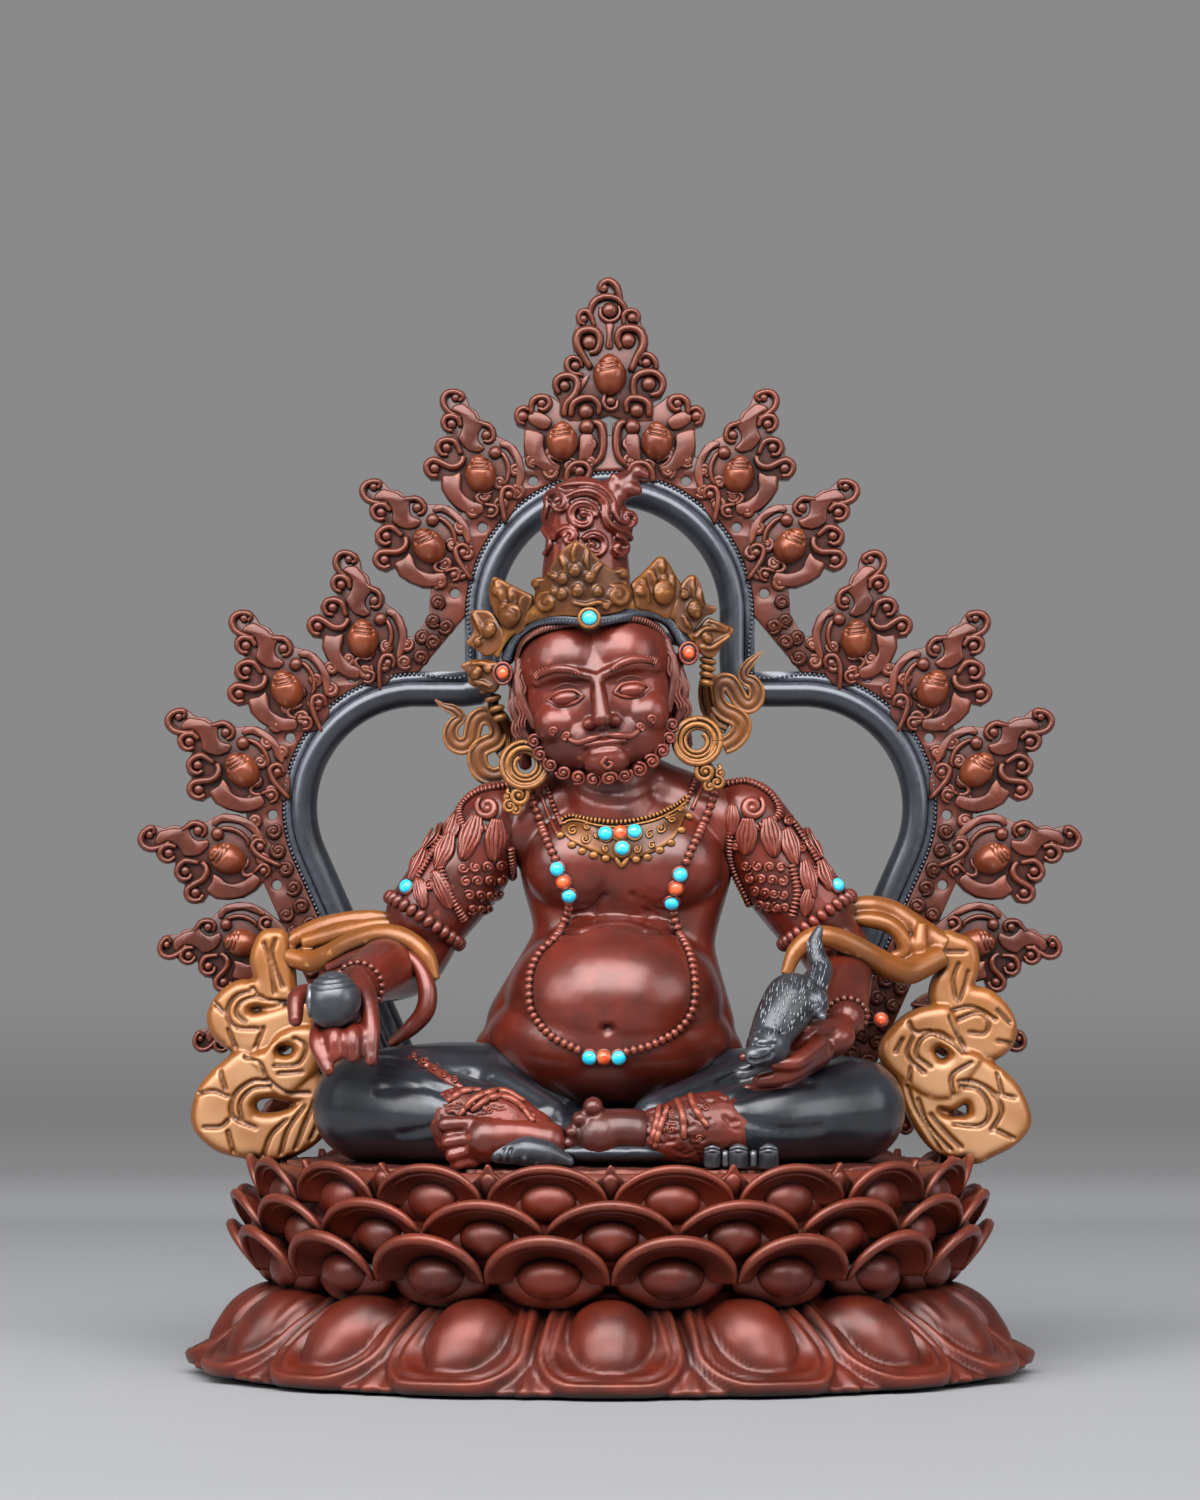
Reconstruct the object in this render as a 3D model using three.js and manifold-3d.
// A seated wealth deity on a double lotus, with a lift-off openwork aureole behind it.
// Millimetres, +Z up, the figure faces -Y. The origin is the centre of the underside.
// A place written [x, y, h] is measured from the middle of the seat, with h above its top.
import * as THREE from 'three';
import { mergeVertices } from 'three/addons/utils/BufferGeometryUtils.js';
import Module from 'manifold-3d';

const wasm = await Module();
wasm.setup();

const TAU = 2 * Math.PI;
const radians = THREE.MathUtils.degToRad;
const lerp = THREE.MathUtils.lerp;

// Driving dimensions of the base
const GAP = 0.3; // seating clearance between neighbouring castings
const DEPTH_RATIO = 0.72; // depth of the oval base over its width
const SKIRT_HEIGHT = 19; // lower, down-turned lotus
const SKIRT_PETALS = 16;
const SKIRT_RADIUS = 81.6; // to the notches between petal tips
const SKIRT_SCALLOP = 3.4; // how far a petal tip stands past the notches
const SKIRT_LIP = 2.4; // height of the petals' upper edge at the rim
const SKIRT_CROWN = 2; // how far the slope rises over a straight one
const SKIRT_NOTCH = 1.5; // how far the slope drops between petals
const WAIST_RADIUS = 56; // the narrow neck between the two lotuses
const BASE_WALL = 2.6;
const RIM_WIDTH = 9; // flat ring that the statue stands on
const BOWL_HEIGHT = 23; // upper, up-turned lotus
const BOWL_PETALS = 18;
const BOWL_RADIUS = 68.5; // body of the bowl behind the petals
const PETAL_REACH = 7; // how far a petal tip stands out of the bowl
const PETAL_RISE = 2.6; // how far a petal tip rises over the notch beside it
// Bosses on the petals: turn of the ring in petals, a boss's half size outward, across and up, and how
// many degrees its outer end leans down. A skirt boss's middle is a share of the way up the slope and
// a lift above it, a bowl boss's is inside the bowl's radius and above its foot.
const SKIRT_BOSS = { shift: 0, share: 0.4140625, lift: 0.1990104, radii: [10, 7, 4.8], lean: 34 };
const BOWL_BOSSES = [
  { shift: 0.5, inside: 3.3, rise: 3.5, radii: [5.8, 6.4, 4], lean: 0 },
  { shift: 0, inside: 0.9, rise: 10.3, radii: [5, 5.8, 4], lean: 0 },
  { shift: 0.5, inside: 1.5, rise: 17.1, radii: [4.4, 5.6, 4], lean: 0 },
];
const SEAT_THICKNESS = 3;
const SEAT_RADIUS = 64.5;
const PLATE_THICKNESS = 1.2; // copper sheet that closes the base
const PLATE_RECESS = 0.8; // the sheet sits this far inside the rim
const PIN_RADIUS = 1.6; // hidden pins that hold the separate castings
const PIN_REACH = 6; // how far a pin enters each of the two castings
const SEAT_PIN = [30, -8]; // where a pin rises through the seat, to each side

// Driving dimensions of the figure
const HEAD = [-2, -4, 91.5];
const HEAD_RADII = [14.8, 13.6, 17];
const HEAD_TILT = -7; // degrees, leaning to the figure's right
const NECK = [1, -1, 66]; // foot of the neck
const NECK_RADIUS = 8.6;
const NECK_SHARE = 0.65; // the neck ends this far from its foot to the middle of the head
const CHEST = [2.4, 0, 59.6];
const CHEST_RADII = [21.5, 13, 17];
const BELLY = [0.8, -7, 30];
const BELLY_RADII = [25, 21, 20];
const HIPS = [0.4, -2, 16];
const HIPS_RADII = [26, 17, 14.5];
const BODY_WALL = 3; // cast wall of the hollow body
const SHOULDER_HEIGHT = 66.5;
const SHOULDER_RADIUS = 8.8;
const SLEEVE_RADIUS = 8.4;
const ELBOW_RADIUS = 7.4;
const WRIST_RADIUS = 3.9;
const PALM_RADIUS = 5;
const THIGH_RADIUS = 11.4;
const SHIN_RADIUS = 8.2;
const WRAP_RADIUS = 6.9;
const FOOT_RADIUS = 4.8;
const RIGHT = {
  name: 'right',
  side: -1,
  shoulder: [-23.5, 2, SHOULDER_HEIGHT],
  elbow: [-41.5, 2, 40],
  wrist: [-49.6, -23, 36.7],
  palm: [-52.4, -31.5, 29.8],
  fingertips: [-53.4, -37.5, 25.8],
  knee: [-49.5, -17, 11.6],
  hem: [-24, -35, 9], // where the trouser leg ends
  wrap: [[-28, -34.5, 9.6], [-19.5, -36.5, 8]],
  foot: [[-12, -40.4, 5.4], [-21, -41, 6], [-30, -41, 5.4]], // heel, arch and toes
};
const LEFT = {
  name: 'left',
  side: 1,
  shoulder: [28.5, 2, SHOULDER_HEIGHT],
  elbow: [46, 3, 40.5],
  wrist: [45.5, -17, 27.5],
  palm: [38, -32, 22.6],
  fingertips: [29.5, -37.4, 19.4],
  knee: [49, -17, 10.6],
  hem: [23, -34, 7.8],
  wrap: [[21, -35, 7.4], [10.5, -36.5, 6.8]],
  foot: [[8, -37, 6.2], [0.5, -37.5, 6.2], [-5, -38, 7.6]],
};

// Driving dimensions of the ornaments
const TRIM = 1.6; // thickness of the collar and the necklace on the body
const STRAND_WIDTH = 2.2;
const TURQUOISE_RADIUS = 1.35;
const CORAL_RADIUS = 1.05;
const STONE_PITCH = 2.75; // from a coral to the turquoises beside it
const STONE_FACETS = { around: 8, down: 4 };
const ARMLET_SECTION = 1.6;
const BRACELET_SECTION = 0.8;
const CROWN_WALL = 1.8;
const CROWN_BAND = [10, 15.5]; // lower and upper edge of the crown's band, above the head's middle
const CROWN_PROUD = 3; // how far the crown's band stands out from the head
const CROWN_END = 6; // the crown's band stops this far behind the head's middle
const ROSETTE_RADIUS = 5; // discs at the temples
const RIBBON_THICKNESS = 3;
const EARRING_RADIUS = 5;
const EARRING_THICKNESS = 4;
const SCARF_THICKNESS = 5;
const SCARF_FRONT = 5; // front face of the standing folds, behind the middle of the seat
const SCARF_FLOOR = 3; // the folds hang clear of the petal tips by this height
const FOLD_HOLE_RADIUS = 2.1;
const JEWEL_RADIUS = 5.3;
const CONCH_RADIUS = 3.5;
const CONCH_LENGTH = 12;
const GEM_RADIUS = 2.6;

// Driving dimensions of the aureole
const AUREOLE_FRONT = 24; // front face of its plate, behind the middle of the seat
const AUREOLE_PLATE = 4;
const MOULDING_WIDTH = 6.8;
const MOULDING_DEPTH = 5;
const MOULDING_ROUND = 1.2; // softened edges of the moulding
const BORDER_WIDTH = 7.5; // red border outside the moulding
const TENON_WIDTH = 6;
const TENON_THICKNESS = 2.8;
const TENON_DEPTH = 9; // how far a tenon reaches below the top of the seat
const TOP_ARCH_RADIUS = 26.3;
const TOP_ARCH_CENTRE = 110.8; // above the seat
const SIDE_ARCH_RADIUS = 24.3;
const SIDE_ARCH_X = 39.6;
const SIDE_ARCH_CENTRE = 71.2; // above the seat
const LEG_SLOPE = radians(24); // lean of the moulding's legs under the side arches
const CUSP_CORNER = 2.6; // cut corner where the top arch meets a side arch
const FLAME_LENGTH = 18; // from a flame's jewel to its tip
const FLAME_WIDTH = 15.4;
const FLAME_JEWEL = [3.6, 3.4, 4.8]; // half width, half depth and half height
// X and height of each flame's jewel, the lean of its tip from upright, its scale, and how far its
// root reaches back from the jewel to the border
const CREST = [0, 160.4, 0, 1.09, 12];
const FLAMES = [
  [9.9, 147.8, 50, 0.72, 8],
  [26.6, 139.8, 11, 0.98, 9.4],
  [37.3, 125, 36, 0.98, 9.4],
  [50.8, 105.8, 3, 0.98, 9.4],
  [66.5, 95.4, 24, 1, 9.4],
  [75.6, 78.8, 43, 1, 9.4],
  [78.6, 60.6, 66, 0.98, 10],
  [75.6, 43.2, 84, 0.9, 14],
  [70.4, 27, 97, 0.82, 14],
  [61, 13, 112, 0.74, 12],
];

const SEAT_TOP = SKIRT_HEIGHT + GAP + BOWL_HEIGHT;

// Finishes
const finish = (color, roughness, metalness) => () =>
  new THREE.MeshStandardMaterial({ color, roughness, metalness });
const redCopper = finish(0x84453a, 0.42, 0.6);
const darkCopper = finish(0x5a2a22, 0.5, 0.6);
const blackenedCopper = finish(0x2b2c31, 0.35, 0.7);
const ochreCopper = finish(0xb9793c, 0.5, 0.5);
const antiqueGold = finish(0x8a5a26, 0.45, 0.7);
const sheetCopper = finish(0x9a5a44, 0.45, 0.8);
const turquoise = finish(0x17b9dc, 0.35, 0);
const coral = finish(0xc4481c, 0.4, 0);

// Solids from three.js geometry, and back

function toSolid(geometry) {
  const bare = new THREE.BufferGeometry();
  bare.setAttribute('position', geometry.getAttribute('position'));
  if (geometry.index) bare.setIndex(geometry.index);
  const merged = mergeVertices(bare, 1e-4);
  return new wasm.Manifold(
    new wasm.Mesh({
      numProp: 3,
      vertProperties: new Float32Array(merged.attributes.position.array),
      triVerts: new Uint32Array(merged.index.array),
    }),
  );
}

function toGeometry(solid) {
  const data = solid.getMesh();
  const geometry = new THREE.BufferGeometry();
  geometry.setAttribute('position', new THREE.BufferAttribute(data.vertProperties, 3));
  geometry.setIndex(new THREE.BufferAttribute(data.triVerts, 1));
  geometry.computeVertexNormals();
  return geometry;
}

function indexed(points, faces) {
  const geometry = new THREE.BufferGeometry();
  geometry.setAttribute('position', new THREE.Float32BufferAttribute(points.flat(), 3));
  geometry.setIndex(faces);
  return toSolid(geometry);
}

const join = (...solids) => solids.reduce((whole, next) => whole.add(next));
const cut = (solid, ...tools) => tools.reduce((left, tool) => left.subtract(tool), solid);

// Places and directions as plain lists
const middle = (a, b, share = 0.5) => a.map((value, i) => lerp(value, b[i], share));
const offset = (a, ...by) => a.map((value, i) => value + by[i]);
const span = (a, b) => b.map((value, i) => value - a[i]);
const mirrored = (points) => points.map(([x, ...rest]) => [-x, ...rest]);

// A turn that brings one direction onto another
const turnBetween = (from, towards) =>
  new THREE.Quaternion().setFromUnitVectors(new THREE.Vector3(...from), towards);

// Shape makers. A grow value makes the cutter that leaves a neighbour its clearance.

function ellipsoid(centre, radii, { grow = 0, lean = 0, around = 12, down = 8 } = {}) {
  const geometry = new THREE.SphereGeometry(1, around, down);
  geometry.rotateX(Math.PI / 2);
  geometry.scale(...radii.map((radius) => radius + grow));
  geometry.rotateY(radians(lean));
  geometry.translate(...centre);
  return toSolid(geometry);
}

const bead = (centre, radius, options) => ellipsoid(centre, [radius, radius, radius], options);

function block(low, high, grow = 0) {
  const geometry = new THREE.BoxGeometry(...high.map((top, i) => top - low[i] + 2 * grow));
  geometry.translate(...high.map((top, i) => (top + low[i]) / 2));
  return toSolid(geometry);
}

const FAR = 300; // beyond any part of the object
const below = (height) => block([-FAR, -FAR, -FAR], [FAR, FAR, height]);

function rod(from, to, radius, sides = 10) {
  const start = new THREE.Vector3(...from);
  const end = new THREE.Vector3(...to);
  const geometry = new THREE.CylinderGeometry(radius, radius, start.distanceTo(end), sides);
  const along = end.clone().sub(start).normalize();
  geometry.applyQuaternion(turnBetween([0, 1, 0], along));
  geometry.translate(...start.add(end).multiplyScalar(0.5));
  return toSolid(geometry);
}

// A ring about a limb of the given radius, square to the direction along it
function band(at, along, limbRadius, section, grow = 0) {
  const tubes = 12;
  const inner = (limbRadius + GAP) / Math.cos(Math.PI / tubes);
  const geometry = new THREE.TorusGeometry(inner + section, section + grow, 5, tubes);
  geometry.applyQuaternion(turnBetween([0, 0, 1], new THREE.Vector3(...along).normalize()));
  geometry.translate(...at);
  return toSolid(geometry);
}

// A swelling, tapering sweep through points, with rounded ends. flat thins it towards up.
function limb(points, radii, options = {}) {
  const { sides = 8, perSpan = 2, flat = 1, up = [0, 0, 1], grow = 0 } = options;
  const curve = new THREE.CatmullRomCurve3(points.map((p) => new THREE.Vector3(...p)));
  const spans = points.length - 1;
  const reference = new THREE.Vector3(...up);
  const ring = (t, scale, shift) => {
    const at = Math.min(Math.floor(t * spans), spans - 1);
    const radius = lerp(radii[at], radii[at + 1], t * spans - at);
    const along = curve.getTangent(t);
    const side = new THREE.Vector3().crossVectors(along, reference).normalize();
    const over = new THREE.Vector3().crossVectors(side, along).normalize();
    const thin = radius * flat + grow;
    const centre = curve.getPoint(t).addScaledVector(along, shift * thin);
    return Array.from({ length: scale ? sides : 1 }, (_, k) => {
      const angle = (k / sides) * TAU;
      const reach = side.clone().multiplyScalar(Math.cos(angle) * (radius + grow) * scale);
      reach.addScaledVector(over, Math.sin(angle) * thin * scale);
      return centre.clone().add(reach).toArray();
    });
  };
  const steps = spans * perSpan;
  const rings = [ring(0, Math.SQRT1_2, -Math.SQRT1_2)];
  for (let i = 0; i <= steps; i++) rings.push(ring(i / steps, 1, 0));
  rings.push(ring(1, Math.SQRT1_2, Math.SQRT1_2));
  const vertices = [...rings.flat(), ...ring(0, 0, -1), ...ring(1, 0, 1)];
  const tail = rings.length * sides;
  const lastRing = tail - sides;
  const faces = [];
  for (let k = 0; k < sides; k++) {
    const next = (k + 1) % sides;
    for (let low = 0; low < lastRing; low += sides) {
      faces.push(low + k, low + sides + k, low + next);
      faces.push(low + next, low + sides + k, low + sides + next);
    }
    faces.push(tail, k, next);
    faces.push(tail + 1, lastRing + next, lastRing + k);
  }
  return indexed(vertices, faces);
}

// A flat outline in X and height, given thickness from its front face back along Y
function slab(shape, front, depth, bevel = 0) {
  const geometry = new THREE.ExtrudeGeometry(shape, {
    depth: depth - 2 * bevel,
    bevelEnabled: bevel > 0,
    bevelThickness: bevel,
    bevelSize: bevel,
    bevelOffset: -bevel,
    bevelSegments: 1,
  });
  geometry.rotateX(Math.PI / 2);
  geometry.translate(0, front + depth - bevel, 0);
  return toSolid(geometry);
}

const polygon = (points) => new THREE.Shape(points.map((p) => new THREE.Vector2(...p)));

// A rounded outline through points
function smoothOutline(points, steps) {
  const curve = new THREE.SplineCurve([...points, points[0]].map((p) => new THREE.Vector2(...p)));
  return new THREE.Shape(curve.getPoints(steps).slice(0, -1));
}

// The outline of a strand of even width that follows an open line of points
function strandOutline(points, width, steps) {
  const curve = new THREE.SplineCurve(points.map((p) => new THREE.Vector2(...p)));
  const edge = (side) =>
    Array.from({ length: steps + 1 }, (_, i) => {
      const at = curve.getPoint(i / steps);
      const along = curve.getTangent(i / steps);
      return [at.x - (along.y * side * width) / 2, at.y + (along.x * side * width) / 2];
    });
  return polygon([...edge(1), ...edge(-1).reverse()]);
}

// Where a straight line of sight first meets a solid
function meets(solid, from, towards) {
  const surface = new THREE.MeshBasicMaterial({ side: THREE.DoubleSide });
  const mesh = new THREE.Mesh(toGeometry(solid), surface);
  const sight = new THREE.Vector3(...towards).normalize();
  const ray = new THREE.Raycaster(new THREE.Vector3(...from), sight);
  return ray.intersectObject(mesh)[0].point.toArray();
}

// The double lotus

// 1 at a petal's tip and 0 in the notch beside it
const petalCurve = (count, turn) => (angle) =>
  1 - Math.abs(Math.sin((count * (angle - turn)) / 2)) ** 3;
const STEPS_PER_PETAL = 4;

// A round ring of bosses, one on each petal, pressed to the oval
function petalBosses(count, radius, height, { shift, radii, lean }) {
  const boss = ellipsoid([radius, 0, height], radii, { lean, around: 8, down: 4 });
  const turn = (k) => 360 * ((k + shift) / count) - 90;
  return Array.from({ length: count }, (_, k) =>
    boss.rotate([0, 0, turn(k)]).scale([1, DEPTH_RATIO, 1]),
  );
}

// A closed ring of oval rows, each row giving a radius and a height for an angle
function ovalRing(rows, steps) {
  const points = rows.flatMap((row) =>
    Array.from({ length: steps }, (_, i) => {
      const angle = (i / steps) * TAU;
      const [radius, height] = row(angle);
      return [radius * Math.cos(angle), radius * DEPTH_RATIO * Math.sin(angle), height];
    }),
  );
  const faces = rows.flatMap((_, r) => {
    const here = r * steps;
    const above = ((r + 1) % rows.length) * steps;
    return Array.from({ length: steps }, (_, i) => {
      const next = (i + 1) % steps;
      return [here + i, here + next, above + i, here + next, above + next, above + i];
    }).flat();
  });
  return indexed(points, faces);
}

function ovalDisc(radius, low, high) {
  const geometry = new THREE.CylinderGeometry(radius, radius, high - low, 48);
  geometry.rotateX(Math.PI / 2);
  geometry.scale(1, DEPTH_RATIO, 1);
  geometry.translate(0, 0, (high + low) / 2);
  return toSolid(geometry);
}

const WAIST_FLANGE = 2 * BASE_WALL; // flat ring where the two lotuses meet
const WAIST_FILLET = 1.4 * BASE_WALL; // height of the metal behind that ring

function lotusSkirt() {
  const petal = petalCurve(SKIRT_PETALS, Math.PI / 2);
  const underside = SKIRT_RADIUS - RIM_WIDTH;
  const tip = (a) => SKIRT_RADIUS + SKIRT_SCALLOP * petal(a);
  // share goes from the rim to the waist
  const slope = (share) => (a) => {
    const drop = SKIRT_NOTCH * (1 - petal(a));
    const crown = SKIRT_CROWN * Math.sin(Math.PI * share);
    return [
      lerp(SKIRT_RADIUS, WAIST_RADIUS, share) - drop / 2,
      lerp(SKIRT_LIP, SKIRT_HEIGHT, share) + crown - drop,
    ];
  };
  const rows = [
    () => [underside, 0],
    (a) => [tip(a), 0],
    (a) => [tip(a), SKIRT_LIP],
    slope(0.18),
    slope(0.5),
    slope(0.82),
    () => [WAIST_RADIUS, SKIRT_HEIGHT],
    () => [WAIST_RADIUS - WAIST_FLANGE, SKIRT_HEIGHT],
    () => [WAIST_RADIUS - BASE_WALL, SKIRT_HEIGHT - WAIST_FILLET],
    () => [underside, PLATE_RECESS + PLATE_THICKNESS + GAP],
  ];
  const shell = ovalRing(rows, SKIRT_PETALS * STEPS_PER_PETAL);
  const [radius, height] = slope(SKIRT_BOSS.share)(Math.PI / 2);
  return join(shell, ...petalBosses(SKIRT_PETALS, radius, height + SKIRT_BOSS.lift, SKIRT_BOSS));
}

function lotusBowl() {
  const even = petalCurve(BOWL_PETALS, Math.PI / 2);
  const odd = petalCurve(BOWL_PETALS, Math.PI / 2 + Math.PI / BOWL_PETALS);
  const foot = SKIRT_HEIGHT + GAP;
  const tier = (share) => foot + share * (BOWL_HEIGHT - PETAL_RISE);
  // A lip runs over the petal tips of one tier, reach being how far its tips stand out
  const lip = (petal, share, reach, inset = 0) => (a) => [
    BOWL_RADIUS - inset + reach * petal(a),
    tier(share) + PETAL_RISE * petal(a),
  ];
  const swell = (petal, share) => (a) => [BOWL_RADIUS - 1.2 + 2 * petal(a), tier(share)];
  const ledge = SEAT_TOP - SEAT_THICKNESS;
  const rows = [
    () => [WAIST_RADIUS - WAIST_FLANGE, foot],
    () => [WAIST_RADIUS, foot],
    swell(odd, 0.2),
    lip(odd, 0.42, PETAL_REACH + 1),
    lip(odd, 0.5, PETAL_REACH - 2.5, 1),
    lip(even, 0.74, PETAL_REACH, 0.5),
    lip(even, 0.82, PETAL_REACH - 3, 1.2),
    lip(odd, 1.06, PETAL_REACH - 1.5, 1.5),
    lip(odd, 1.06, PETAL_REACH - 3, 3.2),
    () => [SEAT_RADIUS + GAP, ledge],
    () => [SEAT_RADIUS - BASE_WALL, ledge],
    () => [BOWL_RADIUS - 2.4 * BASE_WALL, tier(0.4)],
    () => [WAIST_RADIUS - WAIST_FLANGE, foot + WAIST_FILLET],
  ];
  const shell = ovalRing(rows, BOWL_PETALS * STEPS_PER_PETAL);
  const bosses = BOWL_BOSSES.flatMap((ring) =>
    petalBosses(BOWL_PETALS, BOWL_RADIUS - ring.inside, foot + ring.rise, ring),
  );
  return join(shell, ...bosses);
}

function basePlate() {
  const radius = SKIRT_RADIUS - RIM_WIDTH - GAP;
  return ovalDisc(radius, PLATE_RECESS, PLATE_RECESS + PLATE_THICKNESS);
}

function seatDisc() {
  const disc = ovalDisc(SEAT_RADIUS, GAP - SEAT_THICKNESS, 0);
  const holes = [-1, 1].flatMap((side) => [tenon(side, GAP), seatPin(side, GAP)]);
  return cut(disc, ...holes);
}

// A pin that rises through the seat into the trousers
function seatPin(side, grow = 0) {
  const foot = [side * SEAT_PIN[0], SEAT_PIN[1], -SEAT_THICKNESS - grow];
  const top = offset(foot, 0, 0, SEAT_THICKNESS + PIN_REACH + 2 * grow);
  return rod(foot, top, PIN_RADIUS + grow, 8);
}

// The body with its neck

const NECK_TOP = middle(NECK, HEAD, NECK_SHARE);

function bodyForm(grow = 0) {
  const inside = SHOULDER_RADIUS / 2;
  const shoulders = [offset(RIGHT.shoulder, inside, 0, 0), offset(LEFT.shoulder, -inside, 0, 0)];
  const yoke = SHOULDER_RADIUS - 1.2;
  const up = [0, 1, 0];
  return join(
    ellipsoid(CHEST, CHEST_RADII, { grow }),
    ellipsoid(BELLY, BELLY_RADII, { grow, around: 16, down: 10 }),
    ellipsoid(HIPS, HIPS_RADII, { grow }),
    limb(shoulders, [yoke, yoke], { grow, up, perSpan: 1 }),
    limb([NECK, NECK_TOP], [NECK_RADIUS + 1, NECK_RADIUS], { grow, up, perSpan: 1 }),
  );
}

function bodyHollow() {
  const coarse = { grow: -BODY_WALL, around: 8, down: 6 };
  return join(
    ellipsoid(CHEST, CHEST_RADII, coarse),
    ellipsoid(BELLY, BELLY_RADII, coarse),
    ellipsoid(HIPS, HIPS_RADII, coarse),
    rod([HIPS[0], HIPS[1], 0], HIPS, HIPS_RADII[1] / 2, 8),
  );
}

function torso() {
  const pins = [neckPin(GAP), shoulderPin(RIGHT, GAP), shoulderPin(LEFT, GAP)];
  return cut(bodyForm(), bodyHollow(), armForm(RIGHT, GAP), armForm(LEFT, GAP), ...pins, below(GAP));
}

function neckPin(grow = 0) {
  const reach = PIN_REACH + grow;
  return rod(offset(NECK_TOP, 0, 0, -reach), offset(NECK_TOP, 0, 0, 1.6 * reach), PIN_RADIUS + grow, 8);
}

function shoulderPin({ shoulder, side }, grow = 0) {
  const outer = offset(shoulder, side * (1 + grow), -1, 0);
  const inner = offset(shoulder, -side * (2 * PIN_REACH + grow), -1, 0);
  return rod(outer, inner, PIN_RADIUS + grow, 8);
}

// Head, hair knot and crown

function headForm(grow = 0) {
  const [wide, deep, high] = HEAD_RADII;
  const small = { grow, around: 6, down: 5 };
  const ear = (side) => ellipsoid(offset(HEAD, side * wide, 3, -2), [2.2, 3, 5.5], small);
  return join(
    ellipsoid(offset(HEAD, 0, 0.5, 3.5), [wide, deep, high - 3.5], { grow, lean: HEAD_TILT }),
    ellipsoid(offset(HEAD, 0.8, -1, -5), [wide - 1.4, deep - 1.2, high - 5], { grow, lean: HEAD_TILT }),
    ellipsoid(offset(HEAD, -0.2, -deep, -2), [2.4, 2.6, 3.4], small),
    ear(1),
    ear(-1),
  );
}

const head = () => cut(headForm(), bodyForm(GAP), neckPin(GAP));

function topknot() {
  const base = offset(HEAD, -2.4, 3.5, HEAD_RADII[2]);
  const tip = [offset(base, 3, 0, 20), offset(base, 8, -1, 26), offset(base, 11, -1, 30.5)];
  const knot = join(
    ellipsoid(base, [8.6, 8, 7], { around: 10, down: 6 }),
    ellipsoid(offset(base, 0.6, 0, 14.5), [9.4, 7.4, 10.4], { around: 10, down: 6 }),
    limb(tip, [5, 3, 1.2], { sides: 6, perSpan: 1, up: [0, 1, 0] }),
  );
  return cut(knot, headForm(GAP), crownBelt(GAP));
}

// Crown leaves: the angle round the head from the front, half width and height
const CROWN_LEAVES = [
  [0, 7.5, 15],
  [-40, 5.2, 10],
  [-72, 5, 8.5],
  [38, 5.6, 11],
  [66, 5, 9.5],
];

function crownLeaf([angle, half, tall]) {
  const right = [[half, 0], [half, tall * 0.45], [half * 0.45, tall * 0.75]];
  const shape = polygon([...right, [0, tall], ...mirrored(right).reverse()]);
  const geometry = new THREE.ExtrudeGeometry(shape, { depth: CROWN_WALL, bevelEnabled: false });
  geometry.rotateX(Math.PI / 2 + radians(8));
  geometry.translate(0, -HEAD_RADII[1] - 0.6, HEAD[2] + CROWN_BAND[1] - 1.5);
  geometry.scale(HEAD_RADII[0] / HEAD_RADII[1], 1, 1);
  geometry.rotateZ(radians(angle));
  geometry.translate(HEAD[0] - 2, HEAD[1] + 0.5, 0);
  return toSolid(geometry);
}

const ROSETTES = {
  right: [HEAD[0] - 19.3, HEAD[2] + 5],
  left: [HEAD[0] + 17.6, HEAD[2] + 9],
};
const ROSETTE_LEAD = 4; // how far a rosette's face stands before the middle of the head
const ROSETTE_DEPTH = 3;
const CROWN_STONE = [HEAD[0] - 2.1, HEAD[2] + 15];

// A band that leans with the head
function crownBelt(grow = 0) {
  const outer = HEAD_RADII.map((radius) => radius + CROWN_PROUD + grow);
  const around = ellipsoid(offset(HEAD, -1, 0.5, 3.5), outer, { lean: HEAD_TILT, around: 18 });
  const [low, high] = CROWN_BAND;
  const edge = (x, height) => [HEAD[0] + x, HEAD[2] + height - x * Math.tan(radians(HEAD_TILT))];
  const reach = 2 * HEAD_RADII[0];
  const corners = [
    edge(-reach, low - grow),
    edge(reach, low - grow),
    edge(reach, high + grow),
    edge(-reach, high + grow),
  ];
  return around.intersect(slab(polygon(corners), -FAR, FAR + HEAD[1] + CROWN_END + grow));
}

function crown() {
  const rosettes = Object.values(ROSETTES).map(([x, height]) => {
    const front = HEAD[1] - ROSETTE_LEAD;
    return rod([x, front, height], [x, front + ROSETTE_DEPTH, height], ROSETTE_RADIUS);
  });
  const whole = join(crownBelt(), ...CROWN_LEAVES.map(crownLeaf), ...rosettes);
  return cut(whole, headForm(GAP));
}

// A tab of scrollwork that stands out behind the ear, outwards and up from the head's middle
const RIBBON_OUTLINE = [
  [12, 4],
  [18, 6],
  [23, 0],
  [27, 3],
  [33, 1],
  [32, -4],
  [29, -8],
  [28, -12],
  [22, -15],
  [19, -12],
  [15, -6],
];
const RIBBON_LIFT = { right: 1.5, left: 7 }; // the head leans, so one side stands higher

function crownRibbon(body) {
  const outline = RIBBON_OUTLINE.map(([out, up]) => [
    HEAD[0] + body.side * out,
    HEAD[2] + up + RIBBON_LIFT[body.name],
  ]);
  const front = HEAD[1] + CROWN_END + GAP;
  const tab = slab(smoothOutline(outline, 20), front, RIBBON_THICKNESS, 0.6);
  return cut(tab, headForm(GAP), armForm(body, GAP));
}

const EARRING_PLACE = { right: [-14.8, -5, -14], left: [19.2, -5, -9] }; // from the head's middle

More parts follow.
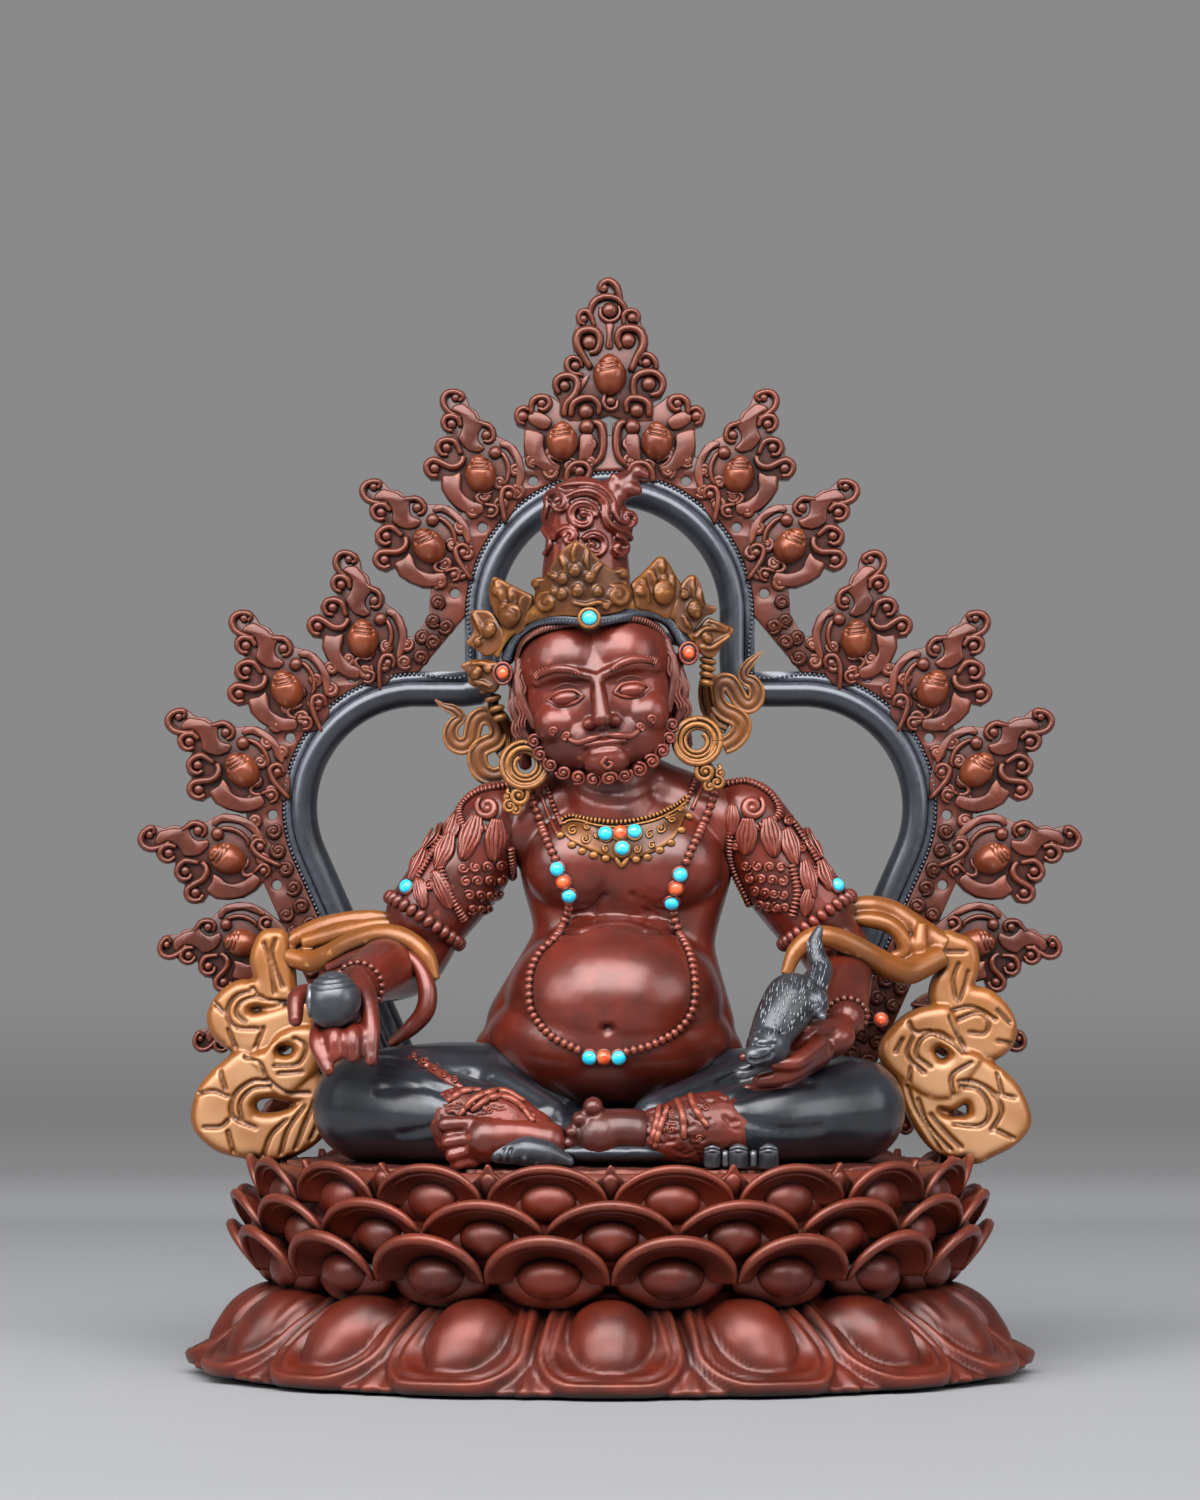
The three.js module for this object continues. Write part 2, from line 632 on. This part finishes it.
function earring({ name, side }) {
  const centre = offset(HEAD, ...EARRING_PLACE[name]);
  const half = EARRING_THICKNESS / 2;
  const lobe = offset(HEAD, side * HEAD_RADII[0], 2, -4);
  const tail = offset(centre, side, 0, -EARRING_RADIUS);
  const up = [0, 1, 0];
  const whole = join(
    rod(offset(centre, 0, -half, 0), offset(centre, 0, half, 0), EARRING_RADIUS, 12),
    limb([tail, offset(tail, side * 1.5, 0, -5)], [2.8, 1.6], { sides: 6, up }),
    limb([centre, lobe], [1.4, 1.2], { sides: 6, perSpan: 1, up }),
  );
  return cut(whole, headForm(GAP), bodyForm(GAP));
}

// Arms

function armForm({ shoulder, elbow, wrist, palm, fingertips }, grow = 0) {
  const upper = [shoulder, middle(shoulder, elbow), elbow];
  const lower = [elbow, wrist, palm, fingertips];
  return join(
    limb(upper, [SHOULDER_RADIUS, SLEEVE_RADIUS, ELBOW_RADIUS], { grow, up: [0, 1, 0] }),
    limb(lower, [ELBOW_RADIUS, WRIST_RADIUS, PALM_RADIUS, WRIST_RADIUS - 1.4], { grow }),
  );
}

const arm = (body) => cut(armForm(body), shoulderPin(body, GAP));

const ARMLET_SHARE = 0.72; // how far down the upper arm the armlet sits
const ARMLET_STONE_SHARE = 0.47; // how far down the upper arm its stone sits
function armlet({ shoulder, elbow }, grow = 0) {
  const at = middle(shoulder, elbow, ARMLET_SHARE);
  return band(at, span(shoulder, elbow), SLEEVE_RADIUS, ARMLET_SECTION, grow);
}

const BRACELET_SHARE = 0.96; // how far down the forearm the bracelet sits
const BRACELET_PLAY = 0.4; // the bracelet is this much wider than the wrist
function bracelet({ elbow, wrist }) {
  const at = middle(elbow, wrist, BRACELET_SHARE);
  return band(at, span(elbow, wrist), WRIST_RADIUS + BRACELET_PLAY, BRACELET_SECTION);
}

// Legs and feet

const THIGH_TOP = THIGH_RADIUS + 1;

function legForm({ side, knee, hem }, grow = 0) {
  const hip = [HIPS[0] + side * HIPS_RADII[0] * 0.54, HIPS[1], THIGH_TOP - 0.5];
  return join(
    limb([hip, knee], [THIGH_TOP, THIGH_RADIUS], { grow }),
    limb([knee, hem], [THIGH_RADIUS, SHIN_RADIUS], { grow }),
  );
}

const wrapForm = ({ wrap }, grow = 0) => limb(wrap, [WRAP_RADIUS, WRAP_RADIUS - 0.8], { grow });
const footForm = ({ foot }, grow = 0) =>
  limb(foot, [FOOT_RADIUS - 0.8, FOOT_RADIUS, FOOT_RADIUS - 0.6], { grow });

function trousers() {
  const seatCloth = ellipsoid(offset(HIPS, 0, 4, -6), [HIPS_RADII[0] + 4, HIPS_RADII[1] + 1, 11]);
  const lap = limb([middle(RIGHT.hem, RIGHT.knee, 0.1), [0, -30, 4], LEFT.hem], [4, 5, 4], { perSpan: 1 });
  const neighbours = [RIGHT, LEFT].flatMap((body) => [
    wrapForm(body, GAP),
    footForm(body, GAP),
    seatPin(body.side, GAP),
  ]);
  return cut(
    join(seatCloth, legForm(RIGHT), legForm(LEFT), lap),
    bodyForm(GAP),
    ...neighbours,
    below(GAP),
  );
}

const ankleWrap = (body) => cut(wrapForm(body), footForm(body, GAP), bodyForm(GAP), below(GAP));
const foot = (body) => cut(footForm(body), bodyForm(GAP), below(GAP));

// Collar and necklace: plates that follow the body's surface at an even thickness. Their outlines are
// in shares of the chest's or the belly's half width and half height, from its middle.

const onChest = ([u, v]) => [CHEST[0] + u * CHEST_RADII[0], CHEST[2] + v * CHEST_RADII[2]];
const onBelly = ([u, v]) => [BELLY[0] + u * BELLY_RADII[0], BELLY[2] + v * BELLY_RADII[2]];

function onBody(shape) {
  const shell = cut(bodyForm(GAP + TRIM), bodyForm(GAP));
  return shell.intersect(slab(shape, -FAR, FAR + NECK[1] - 2));
}

const RIGHT_NIPPLE = onChest([-0.535, -0.265]);
const LEFT_NIPPLE = onChest([0.488, -0.335]);
const NECKLACE_FOOT = onBelly([-0.08, -0.45]);
const NECKLACE_LINE = [
  onChest([-0.735, 0.66]),
  RIGHT_NIPPLE,
  onBelly([-0.544, 0.675]),
  onBelly([-0.632, 0.235]),
  onBelly([-0.516, -0.2]),
  NECKLACE_FOOT,
  onBelly([0.508, -0.2]),
  onBelly([0.644, 0.185]),
  onBelly([0.608, 0.575]),
  LEFT_NIPPLE,
  onChest([0.698, 0.61]),
];
const necklace = () => onBody(strandOutline(NECKLACE_LINE, STRAND_WIDTH, 24));

const COLLAR_OUTLINE = [
  [-0.586, 0.7],
  [-0.507, 0.376],
  [-0.251, 0.129],
  [0, -0.02],
  [0.26, 0.129],
  [0.493, 0.376],
  [0.56, 0.7],
  [0.43, 0.7],
  [0.26, 0.518],
  [0, 0.435],
  [-0.27, 0.518],
  [-0.465, 0.7],
];
const COLLAR_MIDDLE = onChest([-0.02, 0.29]);
const COLLAR_PENDANT = onChest([0, 0.11]);
const collar = () => onBody(polygon(COLLAR_OUTLINE.map(onChest)));

// Stones. A cabochon is a bead half sunk in a seat that lies clear of its carrier, found along a line
// of sight. A drop is a whole bead that stands clear in front of its carrier.

const FROM_FRONT = [0, 1, 0];

function cabochon(seat, from, towards, radius) {
  return cut(bead(meets(seat, from, towards), radius, STONE_FACETS), seat);
}

function drop(carrier, from, towards, radius) {
  const clear = towards.map((share) => -share * (radius + GAP));
  return bead(offset(meets(carrier, from, towards), ...clear), radius, STONE_FACETS);
}

const crownStone = (carrier, [x, height], radius) =>
  drop(carrier, [x, -FAR, height], FROM_FRONT, radius);

// Stones on the collar and the necklace, by what they are, seen from the front
const bodyStone = ([x, height], radius) =>
  cabochon(bodyForm(GAP + TRIM + GAP), [x, -FAR, height], FROM_FRONT, radius);

// A coral between two turquoises in a line that leans from level by an angle
function trio([x, height], lean) {
  const [across, up] = [Math.cos(radians(lean)), Math.sin(radians(lean))];
  const turquoiseAt = (side) => {
    const along = side * STONE_PITCH;
    return bodyStone([x + across * along, height + up * along], TURQUOISE_RADIUS);
  };
  return [turquoiseAt(-1), bodyStone([x, height], CORAL_RADIUS), turquoiseAt(1)];
}

function armletStone(body) {
  const { side, shoulder, elbow } = body;
  const from = offset(middle(shoulder, elbow, ARMLET_STONE_SHARE), side * FAR, -SLEEVE_RADIUS / 2, 0);
  return cabochon(armForm(body, GAP), from, [-side, 0, 0], TURQUOISE_RADIUS);
}

function braceletStone(body) {
  const from = offset(middle(body.elbow, body.wrist, BRACELET_SHARE), body.side * FAR, 0, 0);
  return drop(bracelet(body), from, [-body.side, 0, 0], CORAL_RADIUS);
}

// Scarf: a standing fold beside each knee with a band over the forearm, and a length behind the back

const FOLD_OUTLINE = [
  [44, 48],
  [62, 52],
  [70, 47],
  [69, 39],
  [76, 34],
  [77, 26],
  [72, 22],
  [79, 16],
  [78, 7],
  [72, 3],
  [60, 4],
  [58, 12],
  [56, 22],
  [60, 30],
  [58, 40],
];
const FOLD_ROUND = 1.2; // softened edges of a fold
const FOLD_HOLES = [
  [65.4, 22.5],
  [70.5, 30.5],
  [68, 11.5],
];

function scarfFold(body) {
  const { side, elbow } = body;
  const back = SCARF_FRONT + SCARF_THICKNESS;
  const holes = FOLD_HOLES.map(([x, height]) =>
    rod([side * x, SCARF_FRONT - 1, height], [side * x, back + 1, height], FOLD_HOLE_RADIUS, 6),
  );
  const outline = FOLD_OUTLINE.map(([x, height]) => [side * x, height]);
  const fold = slab(smoothOutline(outline, 30), SCARF_FRONT, SCARF_THICKNESS, FOLD_ROUND);
  const drape = [
    [side * 62, SCARF_FRONT + SCARF_THICKNESS / 2, 49],
    offset(elbow, side * 7, -3, 9.5),
    offset(elbow, -side, -9, 8.6),
    offset(elbow, -side * 7, -10, 1),
    offset(elbow, -side * 3.6, -10, -8),
  ];
  const whole = join(
    cut(fold, ...holes),
    limb(drape, [4.6, 5, 5, 4.4, 3], { sides: 6, flat: 0.4, up: [side * 0.5, 0.2, 1] }),
  );
  return cut(whole, armForm(body, GAP), armlet(body, GAP), below(SCARF_FLOOR));
}

function scarfBack() {
  const down = ({ elbow, side }) => offset(elbow, -side * 2, 11, 8);
  const over = ({ shoulder, side }) => offset(shoulder, side * 6, 12.4, -6);
  const spine = (side) => [CHEST[0] + side * 8, CHEST[1] + CHEST_RADII[1] + 2.4, SHOULDER_HEIGHT + 1];
  const line = [down(RIGHT), over(RIGHT), spine(-1), spine(1), over(LEFT), down(LEFT)];
  const stole = limb(line, [4.4, 5, 5, 5, 5, 4.4], { sides: 6, flat: 0.3, up: [0, 1, 0] });
  const arms = [RIGHT, LEFT].flatMap((body) => [armForm(body, GAP), armlet(body, GAP)]);
  return cut(stole, bodyForm(GAP), ...arms);
}

// What the hands hold and what lies before the feet

function jewel() {
  const centre = offset(RIGHT.palm, -0.2, -5, 4.4);
  return cut(bead(centre, JEWEL_RADIUS, { around: 10 }), armForm(RIGHT, GAP));
}

function mongoose() {
  const body = offset(LEFT.palm, -3, -1.4, 7.6);
  const line = [
    offset(body, 8, 9, 17),
    offset(body, 7.5, 8, 11),
    offset(body, 3, 4, 5.4),
    body,
    offset(body, -4.2, -5, -5),
    offset(body, -8.2, -8.6, -8),
  ];
  const form = limb(line, [1.3, 1.8, 4.6, 5.4, 4.2, 1.8], { perSpan: 1, up: [1, 0, 0] });
  return cut(form, armForm(LEFT, GAP), legForm(LEFT, GAP));
}

function conch() {
  const tip = [RIGHT.foot[1][0], RIGHT.foot[1][1] - 1.6, CONCH_RADIUS];
  const line = [tip, offset(tip, CONCH_LENGTH / 2, 0, 0.4), offset(tip, CONCH_LENGTH, 0.6, 0)];
  const shell = limb(line, [2.6, CONCH_RADIUS, 2.6], { perSpan: 1 });
  return cut(shell, footForm(RIGHT, GAP), below(GAP));
}

function gemCluster() {
  const gems = [-1.6, 0, 1.6].map((share) => {
    const centre = offset(LEFT.wrap[0], 2.6 + share * GEM_RADIUS, -7.5, 0);
    return ellipsoid([centre[0], centre[1], GEM_RADIUS], [GEM_RADIUS, GEM_RADIUS + 0.4, 3.2], {
      around: 8,
      down: 5,
    });
  });
  return cut(join(...gems), below(GAP), legForm(LEFT, GAP), wrapForm(LEFT, GAP));
}

// Aureole: the trefoil line is the middle of the black moulding

function trefoilHalf() {
  const arc = (x, height, radius, from, to, steps) =>
    Array.from({ length: steps + 1 }, (_, i) => {
      const angle = lerp(from, to, i / steps);
      return [x + radius * Math.cos(angle), height + radius * Math.sin(angle)];
    });
  const side = arc(SIDE_ARCH_X, SIDE_ARCH_CENTRE, SIDE_ARCH_RADIUS, -LEG_SLOPE, Math.PI / 2, 9);
  const [legX, legTop] = side[0];
  const foot = [legX - (legTop - GAP) * Math.tan(LEG_SLOPE), GAP];
  const cusp = SIDE_ARCH_CENTRE + SIDE_ARCH_RADIUS;
  const corner = [[TOP_ARCH_RADIUS + CUSP_CORNER, cusp], [TOP_ARCH_RADIUS, cusp + CUSP_CORNER]];
  const top = arc(0, TOP_ARCH_CENTRE, TOP_ARCH_RADIUS, 0, Math.PI / 2, 6);
  return [foot, ...side, ...corner, ...top];
}

const HALF_TREFOIL = trefoilHalf();
const TREFOIL = [...HALF_TREFOIL, ...mirrored(HALF_TREFOIL.slice(0, -1)).reverse()];

// The trefoil line moved outwards by a distance, with mitred corners
function trefoilOffset(distance) {
  const normal = (from, to) => {
    const length = Math.hypot(to[0] - from[0], to[1] - from[1]);
    return [(to[1] - from[1]) / length, (from[0] - to[0]) / length];
  };
  const last = TREFOIL.length - 1;
  return TREFOIL.map((point, i) => {
    const before = normal(TREFOIL[i ? i - 1 : 0], TREFOIL[i ? i : 1]);
    const after = normal(TREFOIL[i < last ? i : last - 1], TREFOIL[i < last ? i + 1 : last]);
    const sum = [before[0] + after[0], before[1] + after[1]];
    const scale = (2 * distance) / (sum[0] ** 2 + sum[1] ** 2);
    return [point[0] + sum[0] * scale, point[1] + sum[1] * scale];
  });
}

function trefoilBand(inner, outer, depth, bevel = 0) {
  const outline = [...trefoilOffset(outer), ...trefoilOffset(inner).reverse()];
  const front = AUREOLE_FRONT + (AUREOLE_PLATE - depth) / 2;
  return cut(slab(polygon(outline), front, depth, bevel), below(GAP));
}

// One flame's half outline, across and towards its tip, in shares of its width and length
const FLAME_HALF = [
  [0.47, -0.28],
  [0.53, 0],
  [0.6, 0.14],
  [0.44, 0.32],
  [0.45, 0.46],
  [0.25, 0.6],
  [0.12, 0.8],
  [0.13, 0.93],
  [0.06, 1],
];
const FLAME_ROOT = 0.34; // half width of a flame where it grows out of the border

function flame([x, height, tilt, scale, root], side) {
  const turn = radians(tilt);
  const half = [[FLAME_ROOT, -root / (FLAME_LENGTH * scale)], ...FLAME_HALF];
  const outline = [...half, ...mirrored(half).reverse()].map(([u, v]) => {
    const across = u * FLAME_WIDTH * scale;
    const along = v * FLAME_LENGTH * scale;
    return [
      side * (x + across * Math.cos(turn) + along * Math.sin(turn)),
      height - across * Math.sin(turn) + along * Math.cos(turn),
    ];
  });
  const radii = FLAME_JEWEL.map((radius) => radius * scale);
  const small = { lean: side * tilt, around: 8, down: 5 };
  const gem = ellipsoid([side * x, AUREOLE_FRONT + 0.6, height], radii, small);
  return join(slab(polygon(outline), AUREOLE_FRONT, AUREOLE_PLATE), gem);
}

const BORDER_INNER = MOULDING_WIDTH / 2 + GAP;
const TENON_X = TREFOIL[0][0] + (BORDER_INNER + BORDER_WIDTH / 2) / Math.cos(LEG_SLOPE);

function tenon(side, grow = 0) {
  const x = side * TENON_X;
  const y = AUREOLE_FRONT + AUREOLE_PLATE / 2;
  const half = [TENON_WIDTH / 2, TENON_THICKNESS / 2];
  return block([x - half[0], y - half[1], -TENON_DEPTH], [x + half[0], y + half[1], 2], grow);
}

function aureoleFrame() {
  const flames = FLAMES.flatMap((place) => [flame(place, 1), flame(place, -1)]);
  const border = trefoilBand(BORDER_INNER, BORDER_INNER + BORDER_WIDTH, AUREOLE_PLATE);
  const arch = slab(polygon(trefoilOffset(BORDER_INNER)), 0, 2 * AUREOLE_FRONT + AUREOLE_PLATE);
  const trimmed = cut(join(border, ...flames, flame(CREST, 1)), arch, below(GAP));
  return join(trimmed, tenon(1), tenon(-1));
}

const aureoleMoulding = () =>
  trefoilBand(-MOULDING_WIDTH / 2, MOULDING_WIDTH / 2, MOULDING_DEPTH, MOULDING_ROUND);

// Assembly

const statue = new THREE.Group();
const seated = new THREE.Group();
seated.position.z = SEAT_TOP;
statue.add(seated);

function place(group, name, solid, material) {
  const mesh = new THREE.Mesh(toGeometry(solid), material());
  mesh.name = name;
  group.add(mesh);
  return solid;
}

place(statue, 'lotus_skirt', lotusSkirt(), redCopper);
place(statue, 'lotus_bowl', lotusBowl(), redCopper);
place(statue, 'base_plate', basePlate(), sheetCopper);
place(seated, 'seat_disc', seatDisc(), darkCopper);

place(seated, 'aureole_frame', aureoleFrame(), redCopper);
place(seated, 'aureole_moulding', aureoleMoulding(), blackenedCopper);

place(seated, 'torso', torso(), redCopper);
place(seated, 'head', head(), redCopper);
place(seated, 'topknot', topknot(), redCopper);
place(seated, 'neck_pin', neckPin(), sheetCopper);
place(seated, 'trousers', trousers(), blackenedCopper);
place(seated, 'scarf_back', scarfBack(), ochreCopper);
const crownSolid = place(seated, 'crown', crown(), antiqueGold);
place(seated, 'collar', collar(), antiqueGold);
place(seated, 'long_necklace', necklace(), redCopper);

[RIGHT, LEFT].forEach((body) => {
  const { name, side } = body;
  place(seated, `${name}_arm`, arm(body), redCopper);
  place(seated, `${name}_shoulder_pin`, shoulderPin(body), sheetCopper);
  place(seated, `${name}_seat_pin`, seatPin(side), sheetCopper);
  place(seated, `${name}_ankle_wrap`, ankleWrap(body), redCopper);
  place(seated, `${name}_foot`, foot(body), side > 0 ? darkCopper : redCopper);
  place(seated, `${name}_crown_ribbon`, crownRibbon(body), antiqueGold);
  place(seated, `${name}_earring`, earring(body), antiqueGold);
  place(seated, `${name}_armlet`, armlet(body), redCopper);
  place(seated, `${name}_bracelet`, bracelet(body), redCopper);
  place(seated, `${name}_scarf_fold`, scarfFold(body), ochreCopper);
});

const TRIOS = {
  collar: trio(COLLAR_MIDDLE, 3),
  right_chest: trio(RIGHT_NIPPLE, -67),
  left_chest: trio(LEFT_NIPPLE, -107),
  belly: trio(NECKLACE_FOOT, 0),
};
Object.entries(TRIOS).forEach(([name, [first, centre, second]]) => {
  place(seated, `${name}_turquoise_1`, first, turquoise);
  place(seated, `${name}_coral`, centre, coral);
  place(seated, `${name}_turquoise_2`, second, turquoise);
});
place(seated, 'collar_turquoise_3', bodyStone(COLLAR_PENDANT, TURQUOISE_RADIUS), turquoise);
place(seated, 'crown_turquoise', crownStone(crownSolid, CROWN_STONE, TURQUOISE_RADIUS), turquoise);
place(seated, 'right_crown_coral', crownStone(crownSolid, ROSETTES.right, CORAL_RADIUS), coral);
place(seated, 'left_crown_coral', crownStone(crownSolid, ROSETTES.left, CORAL_RADIUS), coral);
place(seated, 'right_armlet_turquoise', armletStone(RIGHT), turquoise);
place(seated, 'left_armlet_turquoise', armletStone(LEFT), turquoise);
place(seated, 'left_bracelet_coral', braceletStone(LEFT), coral);

place(seated, 'jewel', jewel(), blackenedCopper);
place(seated, 'mongoose', mongoose(), blackenedCopper);
place(seated, 'conch', conch(), blackenedCopper);
place(seated, 'gem_cluster', gemCluster(), blackenedCopper);

export default statue;
